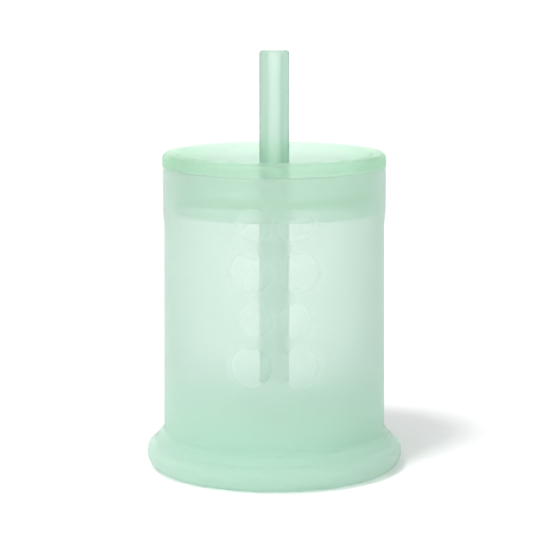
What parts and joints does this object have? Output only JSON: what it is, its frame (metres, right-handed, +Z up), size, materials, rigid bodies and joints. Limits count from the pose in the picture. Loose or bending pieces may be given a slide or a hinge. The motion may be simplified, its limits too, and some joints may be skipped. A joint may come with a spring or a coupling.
{
  "type": "toddler straw cup",
  "caption": "Small one-wall silicone cup with a flared thick foot, a press-in dished lid and a straight straw.",
  "frame": {"origin": "middle of the base, on the surface that the cup stands on", "axes": "+Z up along the cup's axis; the cup is round, so +X and +Y are free, and -Y is the side seen from the front"},
  "size_m": [0.07, 0.07, 0.1138],
  "materials": {
    "cup_silicone": "frosted, translucent mint green silicone with a soft sheen",
    "lid_silicone": "frosted, translucent mint green silicone, a little smoother on the bead",
    "straw_silicone": "clearer translucent mint green silicone with a soft gloss"
  },
  "bodies": {
    "cup": {"cup_body": "cup_silicone"},
    "lid": {"lid": "lid_silicone"},
    "straw": {"straw": "straw_silicone"}
  },
  "joints": [
    {"name": "lid_pull", "type": "slide", "parent": "cup", "child": "lid", "axis": [0, 0, 1], "range_m": [0, 0.07]},
    {"name": "straw_slide", "type": "slide", "parent": "lid", "child": "straw", "axis": [0, 0, 1], "range_m": [-0.008, 0.054]}
  ]
}
